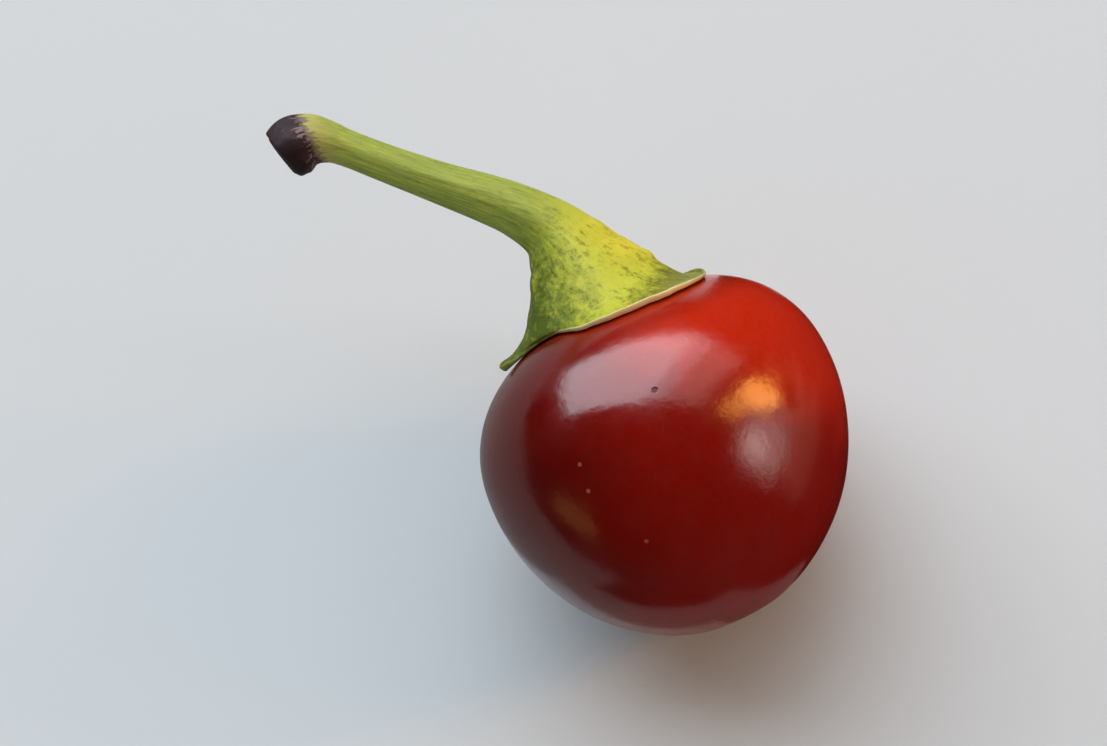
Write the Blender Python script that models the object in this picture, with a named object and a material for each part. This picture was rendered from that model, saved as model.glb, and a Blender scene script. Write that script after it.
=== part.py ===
"""A round cherry pepper, as picked, lying on its side on a small flat spot.

Metres, +Z up. The origin is the centre of the flat spot that the pepper rests on. Both pieces are
shaped upright in the pepper's own frame, with Z along its axis towards the stem and the origin in
the middle of the fruit, and one empty then lays them down.
"""

from bisect import bisect_right
from math import acos, asin, atan2, cos, exp, pi, radians, sin

import bmesh
import bpy
from mathutils import Euler, Matrix, Vector

MM = 0.001

# Fruit
FRUIT_RADIUS = 17.9 * MM
BELLY_HEIGHT = 1.7 * MM      # level of the widest place
SHOULDER_RISE = 14.0 * MM    # from there up to the top, under the calyx
SHOULDER_POWER = 2.3         # above 2 the shoulder is squarer than an ellipse
BLOSSOM_DROP = 19.3 * MM     # from the widest place down to the blossom end
BLOSSOM_POWER = 1.95
LEAN = 0.023                 # the stem end leans this much towards +X
LOBES = 3
LOBE_DEPTH = 0.018           # share of the radius
SCAR_DEPTH = 0.7 * MM        # dimple at the blossom end
SCAR_RADIUS = 2.6 * MM
FRUIT_SEGMENTS = 64
FRUIT_RINGS = 36

# Calyx: a cap on the shoulder, with pointed teeth and hollowed edges between them
GAP = 0.35 * MM
RIM_THICKNESS = 0.5 * MM
TEETH = (                    # bearing from +X, reach, and the reach half-way to the next tooth
    (-172.0, 10.7 * MM, 7.4 * MM),
    (-104.0, 9.7 * MM, 11.0 * MM),
    (-34.0, 11.45 * MM, 11.0 * MM),
    (-2.0, 10.0 * MM, 9.0 * MM),
    (55.0, 10.8 * MM, 8.4 * MM),
    (118.0, 11.0 * MM, 8.6 * MM),
)
CAP_BLEND = 0.12             # share of the stem's length over which the toothed edge turns round
RIM_HOLD = 0.8               # how closely the lowest ring keeps to the toothed edge
RIBS = 5
RIB_DEPTH = 0.035            # share of the radius
RIB_BEARING = -10.0

# Stem: centre and radius at each station, from the cap to the cut end. The stem leaves the cap
# upright, bends towards -X and ends in a flared, slanting cut.
STATIONS = (                 # X, Z, radius
    (0.4 * MM, 15.1 * MM, 8.5 * MM),
    (0.4 * MM, 16.6 * MM, 7.15 * MM),
    (0.4 * MM, 18.3 * MM, 6.15 * MM),
    (0.25 * MM, 20.0 * MM, 5.25 * MM),
    (0.15 * MM, 22.0 * MM, 4.05 * MM),
    (-0.45 * MM, 24.3 * MM, 3.15 * MM),
    (-2.3 * MM, 27.0 * MM, 2.6 * MM),
    (-4.3 * MM, 29.3 * MM, 2.35 * MM),
    (-7.8 * MM, 32.9 * MM, 2.0 * MM),
    (-11.2 * MM, 36.5 * MM, 1.8 * MM),
    (-14.2 * MM, 39.8 * MM, 1.75 * MM),
    (-15.5 * MM, 41.15 * MM, 2.0 * MM),
    (-16.9 * MM, 42.05 * MM, 2.55 * MM),
    (-18.5 * MM, 42.3 * MM, 2.95 * MM),
    (-20.05 * MM, 42.0 * MM, 2.65 * MM),
)
END_DISH = 0.2 * MM          # the cut end is slightly sunken
STEM_SEGMENTS = 48
UNDERSIDE_RINGS = 6
STEM_RINGS = 38

# How it lies
HEADING = radians(29.5)      # turn of the axis from +Y towards -X
RISE = radians(25.2)         # stem end of the axis above level
ROLL = radians(-4.6)
FLAT_DEPTH = 0.35 * MM

FRUIT_RED = (0.36, 0.018, 0.010, 1.0)
CALYX_GREEN = (0.33, 0.40, 0.05, 1.0)


def principled(name, colour, roughness):
    material = bpy.data.materials.new(name)
    material.use_nodes = True
    shader = material.node_tree.nodes["Principled BSDF"]
    shader.inputs["Base Color"].default_value = colour
    shader.inputs["Roughness"].default_value = roughness
    shader.inputs["Metallic"].default_value = 0.0
    material.diffuse_color = colour
    return material


def finished_object(name, bm, material):
    """Closes the bmesh into a smooth-shaded object of its own."""
    mesh = bpy.data.meshes.new(name)
    bm.normal_update()
    bm.to_mesh(mesh)
    bm.free()
    mesh.shade_smooth()
    mesh.materials.append(material)
    piece = bpy.data.objects.new(name, mesh)
    bpy.context.scene.collection.objects.link(piece)
    return piece


def fruit_point(bearing, latitude, offset=0.0):
    """A point of the fruit's skin, or of a skin that lies offset outside it."""
    upper = latitude > 0.0
    power = SHOULDER_POWER if upper else BLOSSOM_POWER
    height = (SHOULDER_RISE if upper else BLOSSOM_DROP) + offset
    level = cos(latitude)
    radius = (FRUIT_RADIUS + offset) * max(level, 0.0) ** (2.0 / power)
    z = BELLY_HEIGHT + height * abs(sin(latitude)) ** (2.0 / power) * (1.0 if upper else -1.0)
    if not upper:
        z += SCAR_DEPTH * exp(-((radius / SCAR_RADIUS) ** 2))
    radius *= 1.0 + LOBE_DEPTH * level * cos(LOBES * bearing)
    return Vector((radius * cos(bearing) + LEAN * z, radius * sin(bearing), z))


def sphere_to_shape(segments, rings, place):
    """A closed grid with two poles, each vertex put at place(bearing, ring)."""
    bm = bmesh.new()
    bmesh.ops.create_uvsphere(bm, u_segments=segments, v_segments=rings, radius=1.0)
    for vertex in bm.verts:
        bearing = atan2(vertex.co.y, vertex.co.x)
        ring = round((asin(max(-1.0, min(1.0, vertex.co.z))) / pi + 0.5) * rings)
        vertex.co = place(bearing, ring)
    return bm


def build_fruit(down):
    """The fruit, cut by a small flat that faces down, and the centre of that flat."""
    bm = sphere_to_shape(
        FRUIT_SEGMENTS,
        FRUIT_RINGS,
        lambda bearing, ring: fruit_point(bearing, pi * (ring / FRUIT_RINGS - 0.5)),
    )
    lowest = max(vertex.co.dot(down) for vertex in bm.verts)
    cut = bmesh.ops.bisect_plane(
        bm,
        geom=bm.verts[:] + bm.edges[:] + bm.faces[:],
        plane_co=down * (lowest - FLAT_DEPTH),
        plane_no=down,
        clear_outer=True,
    )
    border = [part for part in cut["geom_cut"] if isinstance(part, bmesh.types.BMEdge)]
    flat = bmesh.ops.contextual_create(bm, geom=border)["faces"][0]
    centre = flat.calc_center_median_weighted()
    bmesh.ops.recalc_face_normals(bm, faces=bm.faces[:])
    return finished_object("fruit", bm, principled("fruit_skin", FRUIT_RED, 0.2)), centre


def tooth_reach(bearing):
    """Distance from the axis to the cap's edge: pointed teeth with hollows between them."""
    degrees = bearing * 180.0 / pi
    if degrees < TEETH[0][0]:
        degrees += 360.0
    here = bisect_right([tooth[0] for tooth in TEETH], degrees) - 1
    start, reach, hollow = TEETH[here]
    following = TEETH[(here + 1) % len(TEETH)]
    end = following[0] if following[0] > start else following[0] + 360.0
    share = (degrees - start) / (end - start)
    straight = reach + (following[1] - reach) * share
    middle = 0.5 * (reach + following[1])
    return straight - (middle - hollow) * sin(pi * share)


def edge_latitude(bearing):
    """Latitude on the fruit that the cap's edge comes down to."""
    return acos((tooth_reach(bearing) / FRUIT_RADIUS) ** (SHOULDER_POWER / 2.0))


def station_at(share):
    """Centre, direction and radius of the stem at a share of the way from the cap to the cut end."""
    place = share * (len(STATIONS) - 1)
    here = min(int(place), len(STATIONS) - 2)
    step = place - here
    last = len(STATIONS) - 1
    points = [Vector(STATIONS[max(0, min(last, here + shift))]) for shift in (-1, 0, 1, 2)]
    before, start, end, after = points
    leaving = (end - before) * 0.5
    arriving = (after - start) * 0.5
    curve = (
        start * (2 * step**3 - 3 * step**2 + 1)
        + leaving * (step**3 - 2 * step**2 + step)
        + end * (3 * step**2 - 2 * step**3)
        + arriving * (step**3 - step**2)
    )
    slope = (
        (start - end) * (6 * step**2 - 6 * step)
        + leaving * (3 * step**2 - 4 * step + 1)
        + arriving * (3 * step**2 - 2 * step)
    )
    centre = Vector((curve.x, 0.0, curve.y))
    direction = Vector((slope.x, 0.0, slope.y)).normalized()
    return centre, direction, curve.z


def stem_point(bearing, share):
    """A point of the outside of the cap and the stem."""
    centre, direction, radius = station_at(share)
    across = Vector((direction.z, 0.0, -direction.x))
    radius *= 1.0 + RIB_DEPTH * cos(RIBS * (bearing - radians(RIB_BEARING)))
    return centre + (across * cos(bearing) + Vector((0.0, 1.0, 0.0)) * sin(bearing)) * radius


def calyx_stem_point(bearing, ring):
    """Rings run from the middle of the underside out to the edge, then up and along the stem."""
    edge = edge_latitude(bearing)
    if ring <= UNDERSIDE_RINGS:
        latitude = pi / 2.0 - (pi / 2.0 - edge) * ring / UNDERSIDE_RINGS
        return fruit_point(bearing, latitude, GAP)
    rim = fruit_point(bearing, edge, GAP + RIM_THICKNESS)
    if ring == UNDERSIDE_RINGS + 1:
        return rim
    share = (ring - UNDERSIDE_RINGS - 2) / (STEM_RINGS - 1)
    if share > 1.0:
        centre, direction, _ = station_at(1.0)
        return centre - direction * END_DISH
    point = stem_point(bearing, share)
    blend = max(0.0, 1.0 - share / CAP_BLEND) ** 3
    return point.lerp(rim, RIM_HOLD * blend)


def build_calyx_stem():
    bm = sphere_to_shape(STEM_SEGMENTS, UNDERSIDE_RINGS + STEM_RINGS + 2, calyx_stem_point)
    bmesh.ops.recalc_face_normals(bm, faces=bm.faces[:])
    return finished_object("calyx_stem", bm, principled("calyx_green", CALYX_GREEN, 0.6))


def main():
    for leftover in list(bpy.data.objects):
        bpy.data.objects.remove(leftover)
    upright = Euler((0.0, 0.0, ROLL)).to_matrix()
    laid = Euler((RISE - pi / 2.0, 0.0, HEADING)).to_matrix() @ upright
    down = laid.inverted() @ Vector((0.0, 0.0, -1.0))
    fruit, flat_centre = build_fruit(down)
    calyx_stem = build_calyx_stem()
    pepper = bpy.data.objects.new("pepper", None)
    bpy.context.scene.collection.objects.link(pepper)
    for piece in (fruit, calyx_stem):
        piece.parent = pepper
    pepper.matrix_world = Matrix.Translation(-(laid @ flat_centre)) @ laid.to_4x4()


main()
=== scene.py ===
"""A round cherry pepper, as picked, lying on its side on a pale floor.

Metres, +Z up. Both pieces are shaped upright in the pepper's own frame, with Z along its axis
towards the stem and the origin in the middle of the fruit, and are then laid down where the
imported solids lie. Their forms follow the same named sizes as the solids, with the finer relief
of the skin, the calyx and the stem added.
"""

from bisect import bisect_right
from functools import cache
from math import acos, asin, atan2, cos, exp, pi, radians, sin

import bmesh
import bpy
from mathutils import Euler, Matrix, Quaternion, Vector, noise


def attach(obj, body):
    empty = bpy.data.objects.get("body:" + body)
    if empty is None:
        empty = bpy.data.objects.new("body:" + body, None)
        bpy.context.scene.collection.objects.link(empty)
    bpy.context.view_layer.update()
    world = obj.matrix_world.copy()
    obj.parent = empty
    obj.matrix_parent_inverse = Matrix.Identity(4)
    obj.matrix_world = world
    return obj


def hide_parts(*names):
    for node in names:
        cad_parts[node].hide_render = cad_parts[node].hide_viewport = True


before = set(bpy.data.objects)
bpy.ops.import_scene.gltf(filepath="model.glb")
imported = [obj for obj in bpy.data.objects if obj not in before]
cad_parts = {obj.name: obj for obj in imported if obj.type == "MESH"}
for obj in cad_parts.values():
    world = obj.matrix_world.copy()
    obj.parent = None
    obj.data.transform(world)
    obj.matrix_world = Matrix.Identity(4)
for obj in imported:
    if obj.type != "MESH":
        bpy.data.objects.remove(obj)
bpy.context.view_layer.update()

bl_info = {
    "name": "Cherry pepper",
    "version": (1, 0, 0),
    "blender": (4, 5, 0),
    "location": "View3D > Sidebar > Pepper",
    "description": "Grows a round cherry pepper with its calyx and stem, and sets its stage",
    "category": "Add Mesh",
}

MM = 0.001

# How the pepper lies
HEADING = radians(29.5)      # turn of the axis from +Y towards -X
RISE = radians(25.2)         # stem end of the axis above level
ROLL = radians(-4.6)
FRUIT_CENTRE = Vector((1.123, -0.295, 17.043)) * MM

# Fruit
SHOULDER_POWER = 2.3         # above 2 the shoulder is squarer than an ellipse
BLOSSOM_POWER = 1.95
LEAN = 0.023                 # the stem end leans this much towards +X
SCAR_DEPTH = 0.7 * MM        # dimple at the blossom end
SCAR_RADIUS = 2.6 * MM
NUB_RADIUS = 0.8 * MM        # the dry scar in the middle of the dimple
NUB_HEIGHT = 0.35 * MM
SWELL_SPAN = 8.5 * MM        # size of the skin's slow swells
RIPPLE_SPAN = 2.6 * MM       # and of its fine ripples
RIPPLE_DEPTH = 0.012 * MM
RELIEF_END = radians(84.0)   # latitude, up and down, where the skin's relief has faded out
RELIEF_FADE = radians(14.0)  # over this much
FRUIT_SEGMENTS = 360
FRUIT_RINGS = 220

# Marks on the skin: place and radius in millimetres, in the pepper's own frame, for the shader
SCAR_PLACE = (-0.4, 0.0, -16.9)
SCAR_SPOT = 1.1
PIT_PLACE = (1.51, -17.09, 6.43)
PIT_SPOT = 0.36
SPECKS = ((-7.57, -16.41, 3.51), (-7.94, -16.32, 1.01), (-5.31, -15.9, -5.43))
SPECK_SPOT = 0.28

# Calyx
TEETH = (                    # bearing from +X, reach, and the reach half-way to the next tooth
    (-172.0, 10.7 * MM, 7.4 * MM),
    (-104.0, 9.7 * MM, 11.0 * MM),
    (-34.0, 11.45 * MM, 11.0 * MM),
    (-2.0, 10.0 * MM, 9.0 * MM),
    (55.0, 10.8 * MM, 8.4 * MM),
    (118.0, 11.0 * MM, 8.6 * MM),
)
KNUCKLES = (                 # bearing, share of the stem's length, height, and the width of each
    (0.0, 0.125, 0.30 * MM, 22.0, 0.022),
    (-50.0, 0.07, 0.14 * MM, 14.0, 0.05),
)
SINKS = (                    # the same for hollows, whose depth is taken straight down
    (0.0, 0.03, 0.75 * MM, 32.0, 0.04),
    (-75.0, 0.03, 0.2 * MM, 30.0, 0.04),
)
# The rim's cream is partly the margin's own pale colour and partly a painted highlight where light
# catches the edge.
THICK_RIM = (-72.0, 38.0)    # bearing and width of the part where the rim is thick and cream
THICK_TIP = (-177.0, 10.0)   # the same for the tooth whose tip is thick and blunt
RIM_LEAST = 0.45             # share of the rim's thickness that it has all round,
RIM_MORE = 0.55              # what the thick part adds to it,
TIP_MORE = 0.9               # and what the blunt tip adds
CREAM_LEAST = 0.3            # how cream the rim is away from its thick part
MARGIN_INSET = 0.12 * MM     # the edge lies this far inside the teeth's outline
MARGIN_WAVE = 0.16 * MM      # most that its waves add or take away
MARGIN_NICK = 0.09 * MM      # and its nicks
TOOTH_LIFTS = (              # bearing, how far that tip stands off the skin, and its width
    (-175.0, 0.2 * MM, 8.0),
    (-2.0, 0.15 * MM, 10.0),
)
CAP_BLEND = 0.12             # share of the stem's length over which the toothed edge turns round
RIM_HOLD = 0.8               # how closely the lowest ring keeps to the toothed edge
RIBS = 5
RIB_BEARING = radians(-10.0)
RELIEF_START = 0.05          # share of the stem's length over which its relief fades in
RIDGES_ROUND = 3.2           # how fast the stem's ridges change round it
RIDGES_ALONG = 4.0           # and along it
RIDGE_HEIGHT = 0.05 * MM
FINE_RIDGE_HEIGHT = 0.025 * MM
WRINKLES_ROUND = 4.2         # the same for the wrinkles on the cap
WRINKLES_ALONG = 13.0
WRINKLES_TWIST = 2.5         # radians that they would turn by over the stem's whole length
WRINKLES_END = 0.5           # share of the stem's length where they have faded out
WRINKLES_SHARPNESS = 2.6
LUMP_SPAN = 2.4 * MM
GRAIN_ROUND = 4.0            # the same for the streaks and veins of the colour
GRAIN_ALONG = 9.0
GRAIN_TWIST = 1.5

# Stem: centre and radius at each station, from the cap to the cut end
STATIONS = (                 # X, Z, radius
    (0.4 * MM, 15.1 * MM, 8.5 * MM),
    (0.4 * MM, 16.6 * MM, 7.15 * MM),
    (0.4 * MM, 18.3 * MM, 6.15 * MM),
    (0.3 * MM, 20.0 * MM, 5.15 * MM),
    (0.1 * MM, 22.0 * MM, 4.1 * MM),
    (-0.55 * MM, 24.3 * MM, 3.1 * MM),
    (-2.3 * MM, 27.0 * MM, 2.6 * MM),
    (-4.3 * MM, 29.3 * MM, 2.35 * MM),
    (-7.8 * MM, 32.9 * MM, 2.0 * MM),
    (-11.2 * MM, 36.5 * MM, 1.8 * MM),
    (-14.2 * MM, 39.8 * MM, 1.75 * MM),
    (-15.5 * MM, 41.15 * MM, 2.0 * MM),
    (-16.9 * MM, 42.05 * MM, 2.55 * MM),
    (-18.5 * MM, 42.3 * MM, 2.95 * MM),
    (-20.05 * MM, 42.0 * MM, 2.65 * MM),
)
END_DISH = 0.2 * MM          # the cut end is slightly sunken
END_ROUND = 0.018            # share of the stem's length over which its end rounds over
END_DROP = 0.16              # share of the radius that the rounding takes off
END_RIM = 0.25 * MM          # height of the dried ring just inside the cut's border
END_RIM_SHARE = 0.4          # share of the way in that it takes up
STEM_SEGMENTS = 288
UNDERSIDE_RINGS = 12
LIP_RINGS = 12
LIP_ARC = 0.6                # share of the lip's rings that go round the blunt edge
STEM_RINGS = 250
END_RINGS = 14

# Sheets over the floor that only reflections see. They keep its glare off the fruit, or let a little
# of it through in grey, brown or tan. Each lies just above the one before.
FLAG_HEIGHT = 1.0 * MM
FLAG_STEP = 0.1 * MM
BLACK = (0.01, 0.01, 0.01)
GREY = (0.29, 0.29, 0.28)
BROWN = (0.32, 0.21, 0.14)
TAN = (0.55, 0.38, 0.26)
FLAGS = (                    # name, near left corner, far right corner, colour
    ("front_flag", (-0.06, -1.5), (1.5, -0.034), BLACK),
    ("front_left_flag", (-1.5, -1.5), (-0.06, -0.075), BLACK),
    ("left_flag", (-1.5, -0.075), (-0.02, 0.5), GREY),
    ("right_flag", (0.014, -0.01), (1.5, 1.5), BLACK),
    ("front_right_flag", (0.02, -0.034), (1.5, -0.01), BLACK),
    ("near_right_flag", (0.008, -0.034), (0.02, -0.01), GREY),
    ("near_front_flag", (-0.024, -0.036), (0.008, -0.021), GREY),
    ("back_flag", (0.004, 0.03), (0.014, 1.5), BLACK),
    ("far_back_flag", (-0.1, 0.15), (0.014, 1.5), BLACK),
    ("right_sheen", (0.072, -0.03), (0.15, 0.035), BROWN),
    ("far_right_sheen", (0.15, -0.06), (0.5, 0.12), TAN),
    ("farthest_right_sheen", (0.5, -0.2), (1.5, 0.35), TAN),
)

# Soft lights that face the pepper from this far, their places in degrees and their sizes in metres.
# A glint is a light that only reflections see, and it stands a little nearer.
LIGHT_DISTANCE = 1.5
GLINT_STEP = 0.02
COOL = (0.88, 0.92, 1.0)
ROSY = (1.0, 0.86, 0.82)
WARM = (1.0, 0.93, 0.86)
ORANGE = (1.0, 0.42, 0.08)
AMBER = (1.0, 0.55, 0.16)
LAMPS = (                    # name, azimuth and elevation, width, height, tint, shape, glint
    ("lamp", (76.0, 21.5), 0.32, 0.62, ORANGE, "ELLIPSE", False),
    ("lamp_side", (84.5, 35.5), 0.2, 0.34, ORANGE, "ELLIPSE", False),
    ("fill", (95.0, 11.0), 0.85, 0.95, WARM, "RECTANGLE", True),
    ("fill_middle", (97.5, 14.0), 0.62, 0.7, WARM, "ELLIPSE", True),
    ("fill_heart", (100.0, 18.0), 0.36, 0.36, WARM, "ELLIPSE", True),
    ("ember", (-137.0, 5.0), 0.75, 0.5, AMBER, "ELLIPSE", False),
)

# The window: three lights side by side in one plane. It lights the skin less than its reflection is
# bright, so each is made twice, once as a glint.
WINDOW_TOWARDS = (-10.0, 45.0)   # azimuth and elevation, in degrees
WINDOW_ROLL = 20.0
WINDOW_HEIGHT = 1.64
WINDOW_RISE = 0.34
WINDOW_SHARE = 0.62          # share of its power that isn't the glint's
WINDOW_PARTS = (             # name, width, how far its middle lies to the right, tint
    ("window", 2.0, -0.51, COOL),
    ("window_side", 0.4, 0.69, COOL),
    ("pane", 1.1, 1.44, ROSY),
)

# Floor and surroundings
FLOOR_CLOUD = (0.55, 0.56, 0.56)     # colour of the floor's faint unevenness
EVEN_LIGHT = (0.92, 0.95, 1.0)       # tint of the light from all round

# Camera
CAMERA_PLACE = Vector((0.02922, -0.09272, 0.24979))
CAMERA_DIP = radians(65.0)   # the photo looks down this much
CAMERA_AIM = (-0.15643, -0.02779)   # sideways and up from the photo's own axis, at unit distance
CAMERA_LENS = 85.3           # mm
CAMERA_SENSOR = 36.0         # mm wide


def length(name, description, default):
    return bpy.props.FloatProperty(
        name=name, description=description, default=default, unit="LENGTH", precision=5
    )


def factor(name, description, default):
    return bpy.props.FloatProperty(
        name=name, description=description, default=default, min=0.0, max=1.0, subtype="FACTOR"
    )


def watts(name, description, default):
    return bpy.props.FloatProperty(
        name=name, description=description, default=default, unit="POWER"
    )


def colour(name, description, default):
    return bpy.props.FloatVectorProperty(
        name=name,
        description=description,
        default=default,
        size=3,
        min=0.0,
        max=1.0,
        subtype="COLOR",
    )


class FruitSettings(bpy.types.PropertyGroup):
    """Sizes and colours of the fruit."""

    radius: length("Radius", "Half the fruit's width at its widest place", 17.9 * MM)
    belly_height: length("Belly height", "Level of the widest place above the middle", 1.7 * MM)
    shoulder_rise: length("Shoulder rise", "From the widest place up to the top", 14.0 * MM)
    blossom_drop: length("Blossom drop", "From the widest place down to the blossom end", 19.3 * MM)
    lobes: bpy.props.IntProperty(
        name="Lobes", description="Shallow lobes round the fruit", default=3, min=0, max=6
    )
    lobe_depth: factor("Lobe depth", "Height of the lobes, as a share of the radius", 0.018)
    swell: length("Swell", "Depth of the skin's slow unevenness", 0.16 * MM)
    # bright: partly the skin's own orange-red, partly painted light towards +X and the top.
    bright: colour("Bright skin", "Orange-red of the sunny shoulder", (0.50, 0.020, 0.003))
    middle: colour("Skin", "Red of the sides", (0.235, 0.005, 0.0013))
    # deep: the skin's own crimson tone, also laid on as painted shade towards -X and in a ring under
    # the calyx.
    deep: colour("Deep skin", "Crimson of the shaded side", (0.09, 0.002, 0.001))
    pit: colour("Pit", "Dark pit in the shoulder", (0.05, 0.004, 0.003))
    speck: colour("Specks", "Pale dots on the side", (0.50, 0.18, 0.13))
    scar: colour("Scar", "Dry tan scar at the blossom end", (0.32, 0.20, 0.10))


class GreenSettings(bpy.types.PropertyGroup):
    """Sizes and colours of the calyx and the stem."""

    gap: length("Gap", "Space between the calyx and the fruit's skin", 0.08 * MM)
    rim_thickness: length("Rim thickness", "Thickness of the calyx at its edge", 0.64 * MM)
    rim_bulge: length("Rim bulge", "How far the blunt edge swells outwards", 0.12 * MM)
    rib_depth: factor("Rib depth", "Height of the stem's ribs, as a share of its radius", 0.035)
    wrinkle: length("Wrinkles", "Depth of the wrinkles on the calyx", 0.11 * MM)
    green: colour("Green", "Yellow-green of the calyx", (0.49, 0.53, 0.036))
    # yellow: the calyx's own yellow flecks and streaks, also laid on as painted light towards +X and
    # higher up the cap.
    yellow: colour("Yellow", "Yellow of the sunny side", (0.65, 0.60, 0.036))
    olive: colour("Olive", "Olive of the calyx's right tooth", (0.17, 0.18, 0.003))
    # dark_green: the calyx's own mottling and dark streaks, also laid on as painted shade towards
    # -X.
    dark_green: colour("Dark green", "Mottling and the shaded side", (0.05, 0.095, 0.003))
    stem: colour("Stem", "Light green of the stem", (0.31, 0.40, 0.065))
    pale: colour("Pale end", "Straw colour of the stem before its dried end", (0.48, 0.45, 0.14))
    # rim: the margin's own pale cream, also standing in for a painted highlight along the edge.
    rim: colour("Rim", "Cream edge of the calyx", (0.78, 0.67, 0.32))
    cut: colour("Cut end", "Dark brown of the dried cut end", (0.028, 0.014, 0.016))
    dust: colour("Dust", "Pale dashes by the dried end", (0.30, 0.22, 0.22))


class StageSettings(bpy.types.PropertyGroup):
    """Floor and light."""

    floor: colour("Floor", "Colour of the plain floor", (0.62, 0.67, 0.675))
    floor_size: length("Floor size", "Side of the square floor", 3.0)
    window: watts("Window", "Power of the large cool light", 49.0)
    window_side: watts("Window's side", "Power of the strip where the window grows weaker", 5.6)
    pane: watts("Pane", "Power of the window's weakest, right side", 7.5)
    lamp: watts("Lamp", "Power of the small warm light", 6.4)
    lamp_side: watts("Lamp's side", "Power of the fainter light beside it", 1.5)
    fill: watts("Fill", "Power of the soft light on the right", 1.8)
    fill_middle: watts("Fill's middle", "Power of the brighter part of that light", 1.2)
    fill_heart: watts("Fill's heart", "Power of its brightest part", 0.7)
    ember: watts("Ember", "Power of the dim amber light on the left", 0.6)
    ambient: factor("Ambient", "Strength of the even light from all round", 0.26)


def laid():
    """Turns the pepper's own upright frame to how it lies."""
    return Euler((RISE - pi / 2.0, 0.0, HEADING)).to_matrix() @ Euler((0.0, 0.0, ROLL)).to_matrix()


def pepper_to_world():
    return Matrix.Translation(FRUIT_CENTRE) @ laid().to_4x4()


def shape_globe(bm, segments, rings, place):
    """Fills bm with a closed globe, each vertex put where place(vertex, bearing, ring) says."""
    bmesh.ops.create_uvsphere(bm, u_segments=segments, v_segments=rings, radius=1.0)
    for vertex in bm.verts:
        bearing = atan2(vertex.co.y, vertex.co.x)
        ring = round((asin(max(-1.0, min(1.0, vertex.co.z))) / pi + 0.5) * rings)
        vertex.co = place(vertex, bearing, ring)


def finished_object(name, bm, material, node):
    """Closes the bmesh into an object that stands for a node of the frame."""
    mesh = bpy.data.meshes.new(name)
    bm.normal_update()
    bm.to_mesh(mesh)
    bm.free()
    mesh.materials.append(material)
    piece = bpy.data.objects.new(name, mesh)
    bpy.context.scene.collection.objects.link(piece)
    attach(piece, "root")
    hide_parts(node)


def fruit_point(size, bearing, latitude, offset=0.0):
    """A point of the fruit's skin, or of a skin that lies offset outside it."""
    upper = latitude > 0.0
    power = SHOULDER_POWER if upper else BLOSSOM_POWER
    height = (size.shoulder_rise if upper else size.blossom_drop) + offset
    level = cos(latitude)
    radius = (size.radius + offset) * max(level, 0.0) ** (2.0 / power)
    z = size.belly_height + height * abs(sin(latitude)) ** (2.0 / power) * (1.0 if upper else -1.0)
    if not upper:
        z += SCAR_DEPTH * exp(-((radius / SCAR_RADIUS) ** 2))
    radius *= 1.0 + size.lobe_depth * level * cos(size.lobes * bearing)
    return Vector((radius * cos(bearing) + LEAN * z, radius * sin(bearing), z))


def skin_relief(size, point, latitude):
    """How far the skin sinks below its smooth form: a slow swell and a fine unevenness."""
    swell = 0.5 + 0.5 * noise.noise(point / SWELL_SPAN)
    ripple = noise.noise(point / RIPPLE_SPAN + Vector((7.0, 3.0, 5.0)))
    fade = min(1.0, max(0.0, (RELIEF_END - abs(latitude)) / RELIEF_FADE))
    return (size.swell * swell + RIPPLE_DEPTH * ripple) * fade


def node_of(tree, kind, settings=None, inputs=None):
    """A new node with its settings, and its inputs, by name or place, set or linked."""
    made = tree.nodes.new(kind)
    for name, value in (settings or {}).items():
        setattr(made, name, value)
    for name, value in (inputs or {}).items():
        if isinstance(value, bpy.types.NodeSocket):
            tree.links.new(value, made.inputs[name])
        else:
            made.inputs[name].default_value = value
    return made


def attribute(tree, name, output="Fac"):
    """A value that the mesh carries at each vertex."""
    made = node_of(tree, "ShaderNodeAttribute", settings={"attribute_name": name})
    return made.outputs[output]


def new_material(name):
    material = bpy.data.materials.new(name)
    material.use_nodes = True
    return material, material.node_tree, material.node_tree.nodes["Principled BSDF"]


def rgba(value):
    return (value[0], value[1], value[2], 1.0)


def pepper_coordinates(tree):
    """Place on the pepper in its own upright frame, in millimetres."""
    turn = laid().inverted()
    here = node_of(tree, "ShaderNodeTexCoord").outputs["Object"]
    return node_of(
        tree,
        "ShaderNodeMapping",
        inputs={
            "Vector": here,
            "Location": -(turn @ FRUIT_CENTRE) / MM,
            "Rotation": turn.to_euler(),
            "Scale": (1.0 / MM,) * 3,
        },
    ).outputs["Vector"]


def noise_of(tree, vector, scale, detail=2.0, roughness=0.5, distortion=0.0):
    return node_of(
        tree,
        "ShaderNodeTexNoise",
        inputs={
            "Vector": vector,
            "Scale": scale,
            "Detail": detail,
            "Roughness": roughness,
            "Distortion": distortion,
        },
    ).outputs["Fac"]


def ranged(tree, value, low, high, to_low=0.0, to_high=1.0):
    """Goes smoothly from to_low to to_high while value goes from low to high."""
    return node_of(
        tree,
        "ShaderNodeMapRange",
        settings={"interpolation_type": "SMOOTHSTEP"},
        inputs={
            "Value": value,
            "From Min": low,
            "From Max": high,
            "To Min": to_low,
            "To Max": to_high,
        },
    ).outputs["Result"]


def maths(tree, operation, first, second):
    return node_of(
        tree,
        "ShaderNodeMath",
        settings={"operation": operation},
        inputs={0: first, 1: second},
    ).outputs["Value"]


def blend(tree, share, first, second):
    """Mixes two colours, through the node's sockets for its factor, its colours and its result."""
    return node_of(
        tree,
        "ShaderNodeMix",
        settings={"data_type": "RGBA"},
        inputs={0: share, 6: first, 7: second},
    ).outputs[2]


def swing(tree, value):
    """A noise of 0 to 1 moved to swing round 0."""
    return maths(tree, "SUBTRACT", value, 0.5)


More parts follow.
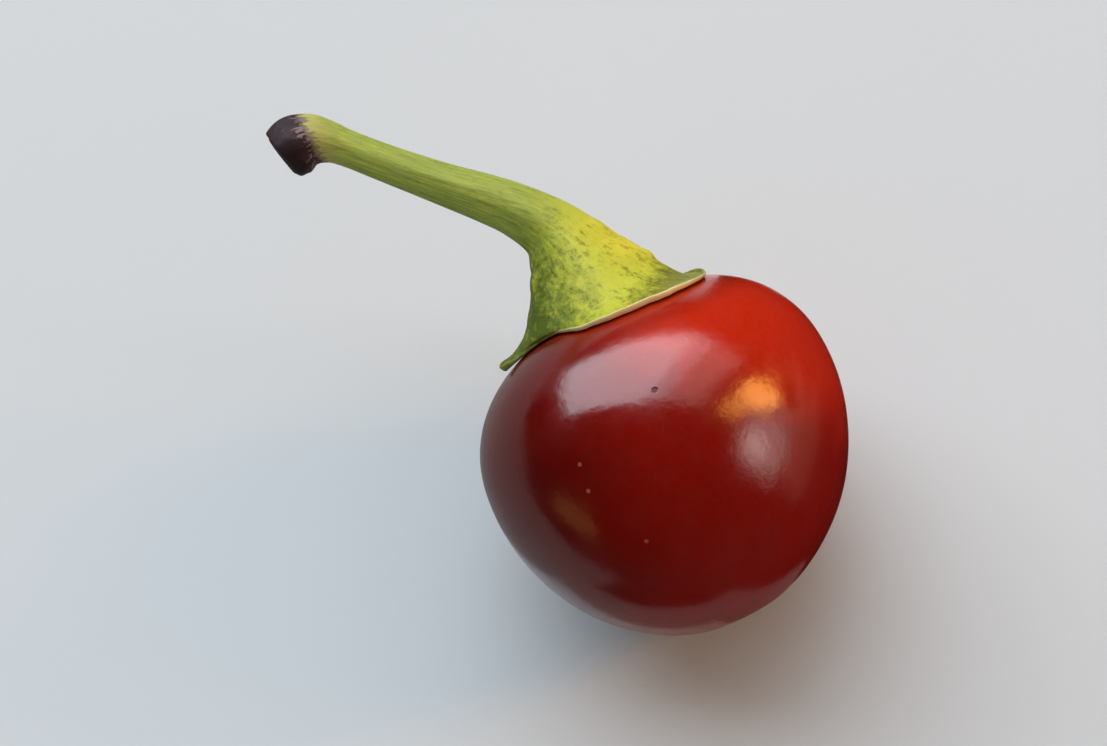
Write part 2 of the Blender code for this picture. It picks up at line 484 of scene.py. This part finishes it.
def weighed(tree, *pairs):
    """The sum of values, each times its weight."""
    total = None
    for value, weight in pairs:
        part = maths(tree, "MULTIPLY", value, weight)
        total = part if total is None else maths(tree, "ADD", total, part)
    return total


def spot(tree, here, place, radius):
    """1 in a round spot at a place on the pepper, in millimetres in its own frame, and 0 outside."""
    away = node_of(
        tree,
        "ShaderNodeVectorMath",
        settings={"operation": "DISTANCE"},
        inputs={0: here, 1: place},
    ).outputs["Value"]
    return ranged(tree, away, radius * 0.5, radius, 1.0, 0.0)


def skin_material(size):
    """Waxy red skin with its own cloudy tone, orange-red on the +X shoulder partly as painted light,
    crimson on the -X side partly as painted shade, and painted shade in a crimson ring under the
    calyx.
    """
    material, tree, shader = new_material("waxy_red_skin")
    here = pepper_coordinates(tree)
    parts = node_of(tree, "ShaderNodeSeparateXYZ", inputs={"Vector": here})
    x = parts.outputs["X"]
    z = parts.outputs["Z"]
    cloud = swing(tree, noise_of(tree, here, 0.09, detail=3.0))
    # Darker crimson towards -X is painted shade, mixed with the skin's own cloudy change of tone.
    painted_shade_and_tone = weighed(tree, (x, 0.075), (z, -0.018), (cloud, 0.5))
    # Lighter orange-red towards +X and the top is painted light, mixed with the same cloudy tone.
    sunny = weighed(tree, (x, 0.0625), (z, 0.06), (cloud, 1.0))
    base = blend(tree, ranged(tree, painted_shade_and_tone, -1.1, -0.1), rgba(size.deep), rgba(size.middle))
    base = blend(tree, ranged(tree, sunny, 0.38, 1.18), base, rgba(size.bright))
    # Painted shade: a darker crimson ring just under the calyx, on its +X side.
    by_calyx = ranged(tree, z, 10.5, 12.5)
    on_the_sunny_side = ranged(tree, x, -4.0, 2.0, 0.0, 0.35)
    painted_calyx_shade = maths(tree, "MULTIPLY", by_calyx, on_the_sunny_side)
    base = blend(tree, painted_calyx_shade, base, rgba(size.deep))
    grain = noise_of(tree, here, 1.6, detail=4.0, roughness=0.6)
    base = blend(tree, ranged(tree, grain, 0.35, 0.75, 0.0, 0.16), base, rgba(size.deep))
    base = blend(tree, spot(tree, here, SCAR_PLACE, SCAR_SPOT), base, rgba(size.scar))
    for place in SPECKS:
        faint = maths(tree, "MULTIPLY", spot(tree, here, place, SPECK_SPOT), 0.45)
        base = blend(tree, faint, base, rgba(size.speck))
    pit = spot(tree, here, PIT_PLACE, PIT_SPOT)
    base = blend(tree, pit, base, rgba(size.pit))
    tree.links.new(base, shader.inputs["Base Color"])
    bloom = ranged(tree, noise_of(tree, here, 0.35, detail=3.0), 0.3, 0.7, 0.15, 0.22)
    roughness = weighed(tree, (bloom, 1.0), (pit, 0.4))
    tree.links.new(roughness, shader.inputs["Roughness"])
    shader.inputs["IOR"].default_value = 1.6
    pebble = noise_of(tree, here, 1.4, detail=4.0, roughness=0.55)
    bump = node_of(
        tree,
        "ShaderNodeBump",
        inputs={
            "Strength": 0.7,
            "Distance": 0.03 * MM,
            "Height": weighed(tree, (pebble, 1.0), (pit, -2.5)),
        },
    )
    tree.links.new(bump.outputs["Normal"], shader.inputs["Normal"])
    return material


def green_material(size):
    """Mottled yellow-green calyx, streaked stem, cream rim and dark dried cut end, with painted
    light on the calyx's +X side and upper cap, painted shade on its -X side, and a painted highlight
    in the rim's cream.
    """
    material, tree, shader = new_material("mottled_green")
    here = pepper_coordinates(tree)
    parts = node_of(tree, "ShaderNodeSeparateXYZ", inputs={"Vector": here})
    grain = attribute(tree, "grain", output="Vector")
    along = attribute(tree, "along")
    rim = attribute(tree, "rim")

    mottle = swing(tree, noise_of(tree, here, 0.5, detail=4.0, roughness=0.6, distortion=0.3))
    fleck = swing(tree, noise_of(tree, here, 1.5, detail=5.0, roughness=0.7))
    vein = swing(tree, noise_of(tree, grain, 1.6, detail=4.0, roughness=0.65, distortion=0.4))
    streak = noise_of(tree, grain, 2.2, detail=4.0, roughness=0.6)
    x = parts.outputs["X"]
    z = parts.outputs["Z"]

    # Yellower towards +X and higher up the cap is painted light, mixed with the calyx's own
    # mottling, flecks and veins.
    high = ranged(tree, z, 17.0, 19.5)
    sunny = weighed(tree, (x, 0.22), (mottle, 1.4), (fleck, 0.9), (vein, 0.7), (high, 1.0))
    base = blend(tree, ranged(tree, sunny, 1.2, 2.5), rgba(size.green), rgba(size.yellow))
    tooth = weighed(tree, (x, 0.12), (z, -0.25), (fleck, 1.1), (vein, 0.6))
    base = blend(tree, ranged(tree, tooth, -3.6, -2.8, 0.0, 0.95), base, rgba(size.olive))
    # Darker green towards -X is painted shade, mixed with the calyx's own mottling, flecks and
    # veins.
    shaded = weighed(tree, (x, -0.19), (mottle, 1.2), (fleck, 1.1), (vein, 0.9))
    base = blend(tree, ranged(tree, shaded, -0.45, 1.1, 0.0, 0.95), base, rgba(size.dark_green))
    flecked = weighed(tree, (fleck, 1.0), (vein, 1.0))
    base = blend(tree, ranged(tree, flecked, 0.0, 0.26, 0.0, 0.6), base, rgba(size.dark_green))
    base = blend(tree, ranged(tree, flecked, 0.0, -0.26, 0.0, 0.35), base, rgba(size.yellow))

    dark_streak = ranged(tree, streak, 0.48, 0.72, 0.0, 0.4)
    streaky = blend(tree, dark_streak, rgba(size.stem), rgba(size.dark_green))
    streaky = blend(tree, ranged(tree, streak, 0.46, 0.3, 0.0, 0.45), streaky, rgba(size.yellow))
    streaky = blend(tree, ranged(tree, fleck, 0.0, 0.3, 0.0, 0.3), streaky, rgba(size.dark_green))
    base = blend(tree, ranged(tree, along, 0.28, 0.46), base, streaky)
    # The cream edge is partly the calyx margin's own pale colour and partly a painted highlight
    # where light catches the edge, strongest on its thick front part.
    pale_edge_and_highlight = weighed(tree, (rim, 1.0), (fleck, 0.6))
    base = blend(tree, ranged(tree, pale_edge_and_highlight, 0.15, 0.75), base, rgba(size.rim))

    ragged = weighed(tree, (x, -1.0), (swing(tree, streak), 2.2), (fleck, 1.6))
    pale = blend(tree, ranged(tree, ragged, 14.2, 16.2, 0.0, 0.6), base, rgba(size.pale))
    dried = ranged(tree, ragged, 16.2, 17.1)
    base = blend(tree, dried, pale, rgba(size.cut))
    dusty = ranged(tree, weighed(tree, (ragged, -0.3), (streak, 3.0), (fleck, 2.0)), -3.7, -3.4)
    dust = maths(tree, "MULTIPLY", dusty, maths(tree, "MULTIPLY", dried, 0.7))
    base = blend(tree, dust, base, rgba(size.dust))
    tree.links.new(base, shader.inputs["Base Color"])
    shader.inputs["Roughness"].default_value = 0.5
    shader.inputs["Specular IOR Level"].default_value = 0.2
    height = weighed(tree, (fleck, 0.9), (vein, 0.6), (streak, 0.7))
    bump = node_of(
        tree,
        "ShaderNodeBump",
        inputs={"Strength": 0.8, "Distance": 0.11 * MM, "Height": height},
    )
    tree.links.new(bump.outputs["Normal"], shader.inputs["Normal"])
    return material


class PEPPER_OT_fruit(bpy.types.Operator):
    """Grow the red fruit with its swell, dimple and flat"""

    bl_idname = "pepper.fruit"
    bl_label = "Fruit"
    bl_options = {"REGISTER", "UNDO"}

    def execute(self, context):
        size = context.scene.pepper_fruit
        bm = bmesh.new()

        def place(vertex, bearing, ring):
            latitude = pi * (ring / FRUIT_RINGS - 0.5)
            point = fruit_point(size, bearing, latitude)
            outward = fruit_point(size, bearing, latitude, MM) - point
            point -= outward.normalized() * skin_relief(size, point, latitude)
            if latitude < 0.0:
                across = (point - Vector((LEAN * point.z, 0.0, point.z))).length
                point.z -= NUB_HEIGHT * exp(-((across / NUB_RADIUS) ** 4))
            return point

        shape_globe(bm, FRUIT_SEGMENTS, FRUIT_RINGS, place)
        bmesh.ops.transform(bm, matrix=pepper_to_world(), verts=bm.verts)
        for face in bm.faces:
            face.smooth = True
        cut = bmesh.ops.bisect_plane(
            bm,
            geom=bm.verts[:] + bm.edges[:] + bm.faces[:],
            plane_co=(0.0, 0.0, 0.0),
            plane_no=(0.0, 0.0, -1.0),
            clear_outer=True,
        )
        border = [part for part in cut["geom_cut"] if isinstance(part, bmesh.types.BMEdge)]
        if not border:
            raise RuntimeError("the fruit doesn't reach down to the floor")
        flat = bmesh.ops.contextual_create(bm, geom=border)["faces"][0]
        flat.smooth = False
        for edge in border:
            edge.smooth = False
        bmesh.ops.recalc_face_normals(bm, faces=bm.faces[:])
        finished_object("pepper_fruit", bm, skin_material(size), "fruit")
        return {"FINISHED"}


def tooth_reach(bearing):
    """Distance from the axis to the cap's edge: pointed teeth with hollows between them."""
    degrees = bearing * 180.0 / pi
    if degrees < TEETH[0][0]:
        degrees += 360.0
    here = bisect_right([tooth[0] for tooth in TEETH], degrees) - 1
    start, reach, hollow = TEETH[here]
    following = TEETH[(here + 1) % len(TEETH)]
    end = following[0] if following[0] > start else following[0] + 360.0
    share = (degrees - start) / (end - start)
    straight = reach + (following[1] - reach) * share
    middle = 0.5 * (reach + following[1])
    return straight - (middle - hollow) * sin(pi * share)


def margin_reach(bearing):
    """The cap's edge with its small nicks and waves."""
    around = Vector((cos(bearing), sin(bearing), 0.0))
    wave = noise.noise(around * 4.5) * MARGIN_WAVE
    nick = noise.noise(around * 13.0) * MARGIN_NICK
    return tooth_reach(bearing) - MARGIN_INSET + wave + nick


def edge_latitude(size, bearing):
    """Latitude on the fruit that the cap's edge comes down to."""
    return acos((margin_reach(bearing) / size.radius) ** (SHOULDER_POWER / 2.0))


def nearness(bearing, centre, width):
    """1 at the bearing centre, falling off over width, both in degrees."""
    apart = (bearing * 180.0 / pi - centre + 180.0) % 360.0 - 180.0
    return exp(-((apart / width) ** 2))


def nearness_along(share, middle, reach):
    """The same along the stem, in shares of its length."""
    return exp(-(((share - middle) / reach) ** 2))


def tooth_lift(bearing):
    """How far the edge stands off the skin at this bearing."""
    return sum(height * nearness(bearing, centre, width) for centre, height, width in TOOTH_LIFTS)


@cache
def station_at(share):
    """Centre, direction and radius of the stem at a share of the way from cap to cut end."""
    place = share * (len(STATIONS) - 1)
    here = min(int(place), len(STATIONS) - 2)
    step = place - here
    last = len(STATIONS) - 1
    before, start, end, after = [
        Vector(STATIONS[max(0, min(last, here + shift))]) for shift in (-1, 0, 1, 2)
    ]
    leaving = (end - before) * 0.5
    arriving = (after - start) * 0.5
    curve = (
        start * (2 * step**3 - 3 * step**2 + 1)
        + leaving * (step**3 - 2 * step**2 + step)
        + end * (3 * step**2 - 2 * step**3)
        + arriving * (step**3 - step**2)
    )
    slope = (
        (start - end) * (6 * step**2 - 6 * step)
        + leaving * (3 * step**2 - 4 * step + 1)
        + arriving * (3 * step**2 - 2 * step)
    )
    centre = Vector((curve.x, 0.0, curve.y))
    direction = Vector((slope.x, 0.0, slope.y)).normalized()
    return centre, direction, curve.z


def stem_relief(bearing, share):
    """Height of the fine lengthwise ridges on the stem."""
    around = Vector(
        (cos(bearing) * RIDGES_ROUND, sin(bearing) * RIDGES_ROUND, share * RIDGES_ALONG)
    )
    return noise.noise(around) * RIDGE_HEIGHT + noise.noise(around * 2.3) * FINE_RIDGE_HEIGHT


def calyx_relief(size, bearing, share, point):
    """Height of the knuckles and wrinkles on the cap, fading out along the stem."""
    fade = 1.0 - share / WRINKLES_END
    if fade <= 0.0:
        return 0.0
    height = 0.0
    for centre, middle, rise, width, reach in KNUCKLES:
        height += rise * nearness(bearing, centre, width) * nearness_along(share, middle, reach)
    twisted = bearing + share * WRINKLES_TWIST
    flow = Vector(
        (cos(twisted) * WRINKLES_ROUND, sin(twisted) * WRINKLES_ROUND, share * WRINKLES_ALONG)
    )
    fold = 1.0 - abs(noise.noise(flow * 2.1)) * WRINKLES_SHARPNESS
    crease = 1.0 - abs(noise.noise(flow * 5.0 + Vector((3.0, 1.0, 8.0)))) * WRINKLES_SHARPNESS
    lump = noise.noise(point / LUMP_SPAN)
    return height + size.wrinkle * fade * (0.2 * fold + 0.25 * crease + 0.5 * lump - 0.2)


def grain_at(bearing, share):
    """Where the colour's streaks and veins are read, so that they run along the stem."""
    twisted = bearing + share * GRAIN_TWIST
    return (cos(twisted) * GRAIN_ROUND, sin(twisted) * GRAIN_ROUND, share * GRAIN_ALONG)


class CalyxForm:
    """Points of the calyx and the stem for these settings."""

    def __init__(self, fruit, size):
        self.fruit = fruit
        self.size = size
        self.edges = {}

    def edge(self, bearing):
        """Latitude, lift and thickness of the edge, worked out once for each bearing."""
        if bearing not in self.edges:
            thick = (
                RIM_LEAST
                + RIM_MORE * nearness(bearing, *THICK_RIM)
                + TIP_MORE * nearness(bearing, *THICK_TIP)
            )
            latitude = edge_latitude(self.fruit, bearing)
            thickness = self.size.rim_thickness * thick
            self.edges[bearing] = (latitude, tooth_lift(bearing), thickness)
        return self.edges[bearing]

    def underside(self, bearing, part):
        """From the middle of the underside, part 0, out to the edge, part 1."""
        edge, lift, _ = self.edge(bearing)
        latitude = pi / 2.0 - (pi / 2.0 - edge) * part
        return fruit_point(self.fruit, bearing, latitude, self.size.gap + lift * part**4)

    def lip(self, bearing, part):
        """Round the blunt edge, from its foot, part 0, to its top, part 1."""
        edge, lift, thickness = self.edge(bearing)
        swell = self.size.rim_bulge * sin(pi * part) / self.fruit.radius
        height = self.size.gap + lift + thickness * sin(0.5 * pi * part) ** 2
        return fruit_point(self.fruit, bearing, edge - swell, height)

    def brim(self, bearing, part):
        """From the top of the edge, part 0, to the lowest ring of the outside, part 1."""
        edge, lift, thickness = self.edge(bearing)
        top = fruit_point(self.fruit, bearing, edge, self.size.gap + lift + thickness)
        return top.lerp(self.outside(bearing, 0.0), part)

    def outside(self, bearing, share):
        """The outside of the cap and the stem."""
        centre, direction, radius = station_at(share)
        past = max(0.0, 1.0 - (1.0 - share) / END_ROUND)
        radius *= 1.0 - END_DROP * (1.0 - (1.0 - past**2) ** 0.5)
        across = Vector((direction.z, 0.0, -direction.x))
        outward = across * cos(bearing) + Vector((0.0, sin(bearing), 0.0))
        ribbed = radius * (1.0 + self.size.rib_depth * cos(RIBS * (bearing - RIB_BEARING)))
        point = centre + outward * ribbed
        hold = max(0.0, 1.0 - share / CAP_BLEND) ** 3
        if hold > 0.0:
            edge, lift, thickness = self.edge(bearing)
            rim = fruit_point(self.fruit, bearing, edge, self.size.gap + thickness + lift)
            point = point.lerp(rim, RIM_HOLD * hold)
        for centre_bearing, middle, depth, width, reach in SINKS:
            near = nearness(bearing, centre_bearing, width) * nearness_along(share, middle, reach)
            point.z -= depth * near
        fine = stem_relief(bearing, share) + calyx_relief(self.size, bearing, share, point)
        return point + outward * (fine * min(1.0, share / RELIEF_START))

    def cut_end(self, bearing, inward):
        """From the border of the cut end, inward 0, to its sunken middle, inward 1."""
        centre, direction, _ = station_at(1.0)
        dished = centre - direction * END_DISH
        level = self.outside(bearing, 1.0).lerp(dished, inward)
        ring = sin(pi * min(1.0, inward / END_RIM_SHARE)) * (1.0 - inward)
        return level + direction * (END_RIM * ring)


class PEPPER_OT_calyx_stem(bpy.types.Operator):
    """Grow the green calyx and the stem with its cut end"""

    bl_idname = "pepper.calyx_stem"
    bl_label = "Calyx and stem"
    bl_options = {"REGISTER", "UNDO"}

    def execute(self, context):
        size = context.scene.pepper_green
        form = CalyxForm(context.scene.pepper_fruit, size)
        bm = bmesh.new()
        along_layer = bm.verts.layers.float.new("along")
        rim_layer = bm.verts.layers.float.new("rim")
        grain_layer = bm.verts.layers.float_vector.new("grain")

        def place(vertex, bearing, ring):
            """Underside, round the edge, up the outside, and in over the cut end."""
            if ring <= UNDERSIDE_RINGS:
                return form.underside(bearing, ring / UNDERSIDE_RINGS)
            ring -= UNDERSIDE_RINGS
            if ring < LIP_RINGS:
                vertex[grain_layer] = grain_at(bearing, 0.0)
                # cream: how strongly the edge takes its pale colour and painted highlight.
                cream = CREAM_LEAST + (1.0 - CREAM_LEAST) * nearness(bearing, *THICK_RIM)
                part = ring / LIP_RINGS / LIP_ARC
                if part <= 1.0:
                    vertex[rim_layer] = cream
                    return form.lip(bearing, part)
                part = (part - 1.0) / (1.0 / LIP_ARC - 1.0)
                vertex[rim_layer] = cream * (1.0 - part)
                return form.brim(bearing, part)
            ring -= LIP_RINGS
            share = min(1.0, ring / (STEM_RINGS - 1))
            vertex[along_layer] = share
            vertex[grain_layer] = grain_at(bearing, share)
            if ring < STEM_RINGS:
                return form.outside(bearing, share)
            return form.cut_end(bearing, (ring - STEM_RINGS + 1) / END_RINGS)

        rings = UNDERSIDE_RINGS + LIP_RINGS + STEM_RINGS + END_RINGS
        shape_globe(bm, STEM_SEGMENTS, rings, place)
        bmesh.ops.transform(bm, matrix=pepper_to_world(), verts=bm.verts)
        for face in bm.faces:
            face.smooth = True
        bmesh.ops.recalc_face_normals(bm, faces=bm.faces[:])
        finished_object("pepper_calyx_stem", bm, green_material(size), "calyx_stem")
        return {"FINISHED"}


def direction_of(azimuth, elevation):
    """Unit direction, azimuth from +Y towards +X and elevation above level, in degrees."""
    a = radians(azimuth)
    e = radians(elevation)
    return Vector((sin(a) * cos(e), cos(a) * cos(e), sin(e)))


def soft_light(
    name, place, width, height, tint, shape, power, glint=False, roll=0.0, shift=(0.0, 0.0)
):
    """An area light that faces the pepper, turned by roll and then shifted in its own plane."""
    data = bpy.data.lights.new(name, "AREA")
    data.shape = shape
    data.size = width
    data.size_y = height
    data.energy = power
    data.color = tint
    lamp = bpy.data.objects.new(name, data)
    towards = direction_of(*place)
    turned = towards.to_track_quat("Z", "Y") @ Quaternion((0.0, 0.0, 1.0), -radians(roll))
    lamp.rotation_mode = "QUATERNION"
    lamp.rotation_quaternion = turned
    away = LIGHT_DISTANCE - (GLINT_STEP if glint else 0.0)
    lamp.location = FRUIT_CENTRE + towards * away + turned @ Vector((-shift[0], shift[1], 0.0))
    lamp.visible_camera = False
    lamp.visible_diffuse = not glint
    bpy.context.scene.collection.objects.link(lamp)


def floor_material(size):
    """Plain pale floor with a faint unevenness."""
    material, tree, shader = new_material("pale_floor")
    here = node_of(tree, "ShaderNodeTexCoord").outputs["Object"]
    cloudy = noise_of(tree, here, 18.0, detail=4.0)
    cloud = ranged(tree, cloudy, 0.3, 0.7, 0.0, 0.05)
    base = blend(tree, cloud, rgba(size.floor), rgba(FLOOR_CLOUD))
    tree.links.new(base, shader.inputs["Base Color"])
    shader.inputs["Roughness"].default_value = 0.6
    shader.inputs["Specular IOR Level"].default_value = 0.0
    return material


def reflected_sheet(name, near, far, shade, height):
    """A level sheet from its near left to its far right corner, seen by reflections alone."""
    bm = bmesh.new()
    bmesh.ops.create_grid(bm, x_segments=1, y_segments=1, size=0.5)
    middle = (Vector(near) + Vector(far)) / 2.0
    bmesh.ops.scale(bm, vec=(far[0] - near[0], far[1] - near[1], 1.0), verts=bm.verts)
    bmesh.ops.translate(bm, vec=(middle.x, middle.y, height), verts=bm.verts)
    mesh = bpy.data.meshes.new(name)
    bm.to_mesh(mesh)
    bm.free()
    material, _, shader = new_material(name)
    shader.inputs["Base Color"].default_value = rgba(shade)
    shader.inputs["Roughness"].default_value = 1.0
    shader.inputs["Specular IOR Level"].default_value = 0.0
    mesh.materials.append(material)
    flag = bpy.data.objects.new(name, mesh)
    flag.visible_camera = False
    flag.visible_diffuse = False
    flag.visible_shadow = False
    flag.visible_transmission = False
    bpy.context.scene.collection.objects.link(flag)


class PEPPER_OT_stage(bpy.types.Operator):
    """Set the floor, the lights and the camera"""

    bl_idname = "pepper.stage"
    bl_label = "Stage"
    bl_options = {"REGISTER", "UNDO"}

    def execute(self, context):
        size = context.scene.pepper_stage
        bm = bmesh.new()
        bmesh.ops.create_grid(bm, x_segments=1, y_segments=1, size=size.floor_size / 2.0)
        mesh = bpy.data.meshes.new("floor")
        bm.to_mesh(mesh)
        bm.free()
        mesh.materials.append(floor_material(size))
        floor = bpy.data.objects.new("floor", mesh)
        context.scene.collection.objects.link(floor)

        for name, width, across, tint in WINDOW_PARTS:
            power = getattr(size, name)
            part = {
                "place": WINDOW_TOWARDS,
                "width": width,
                "height": WINDOW_HEIGHT,
                "tint": tint,
                "shape": "RECTANGLE",
                "roll": WINDOW_ROLL,
                "shift": (across, WINDOW_RISE),
            }
            soft_light(name, power=power * WINDOW_SHARE, **part)
            soft_light(name + "_glint", power=power * (1.0 - WINDOW_SHARE), glint=True, **part)
        for name, place, width, height, tint, shape, glint in LAMPS:
            soft_light(name, place, width, height, tint, shape, getattr(size, name), glint)

        for above, (name, near, far, shade) in enumerate(FLAGS):
            reflected_sheet(name, near, far, shade, FLAG_HEIGHT + above * FLAG_STEP)

        world = bpy.data.worlds.new("even_light")
        world.use_nodes = True
        background = world.node_tree.nodes["Background"]
        background.inputs["Color"].default_value = rgba(EVEN_LIGHT)
        background.inputs["Strength"].default_value = size.ambient
        world.cycles_visibility.glossy = False
        context.scene.world = world
        context.scene.view_settings.view_transform = "Standard"

        data = bpy.data.cameras.new("camera")
        data.lens = CAMERA_LENS
        data.sensor_width = CAMERA_SENSOR
        data.clip_start = 0.01
        data.clip_end = 20.0
        camera = bpy.data.objects.new("camera", data)
        right = Vector((1.0, 0.0, 0.0))
        up = Vector((0.0, sin(CAMERA_DIP), cos(CAMERA_DIP)))
        ahead = Vector((0.0, cos(CAMERA_DIP), -sin(CAMERA_DIP)))
        aim = right * CAMERA_AIM[0] + up * CAMERA_AIM[1] + ahead
        level = Matrix((right, up, -ahead)).transposed()
        turned = ahead.rotation_difference(aim).to_matrix() @ level
        camera.matrix_world = Matrix.Translation(CAMERA_PLACE) @ turned.to_4x4()
        context.scene.collection.objects.link(camera)
        context.scene.camera = camera
        return {"FINISHED"}


class PEPPER_PT_panel(bpy.types.Panel):
    """Lists the pepper's pieces and sizes"""

    bl_idname = "PEPPER_PT_panel"
    bl_label = "Cherry pepper"
    bl_space_type = "VIEW_3D"
    bl_region_type = "UI"
    bl_category = "Pepper"

    def draw(self, context):
        for operator, group in ROWS:
            box = self.layout.box()
            box.operator(operator)
            settings = getattr(context.scene, group)
            for name in settings.bl_rna.properties.keys():
                if name not in ("rna_type", "name"):
                    box.prop(settings, name)


ROWS = (
    (PEPPER_OT_fruit.bl_idname, "pepper_fruit"),
    (PEPPER_OT_calyx_stem.bl_idname, "pepper_green"),
    (PEPPER_OT_stage.bl_idname, "pepper_stage"),
)
GROUPS = {
    "pepper_fruit": FruitSettings,
    "pepper_green": GreenSettings,
    "pepper_stage": StageSettings,
}
CLASSES = (
    FruitSettings,
    GreenSettings,
    StageSettings,
    PEPPER_OT_fruit,
    PEPPER_OT_calyx_stem,
    PEPPER_OT_stage,
    PEPPER_PT_panel,
)


def register():
    for made in CLASSES:
        bpy.utils.register_class(made)
    for name, group in GROUPS.items():
        setattr(bpy.types.Scene, name, bpy.props.PointerProperty(type=group))


def unregister():
    for name in GROUPS:
        delattr(bpy.types.Scene, name)
    for made in reversed(CLASSES):
        bpy.utils.unregister_class(made)


def main():
    register()
    bpy.ops.pepper.fruit()
    bpy.ops.pepper.calyx_stem()
    bpy.ops.pepper.stage()


if __name__ == "__main__":
    main()
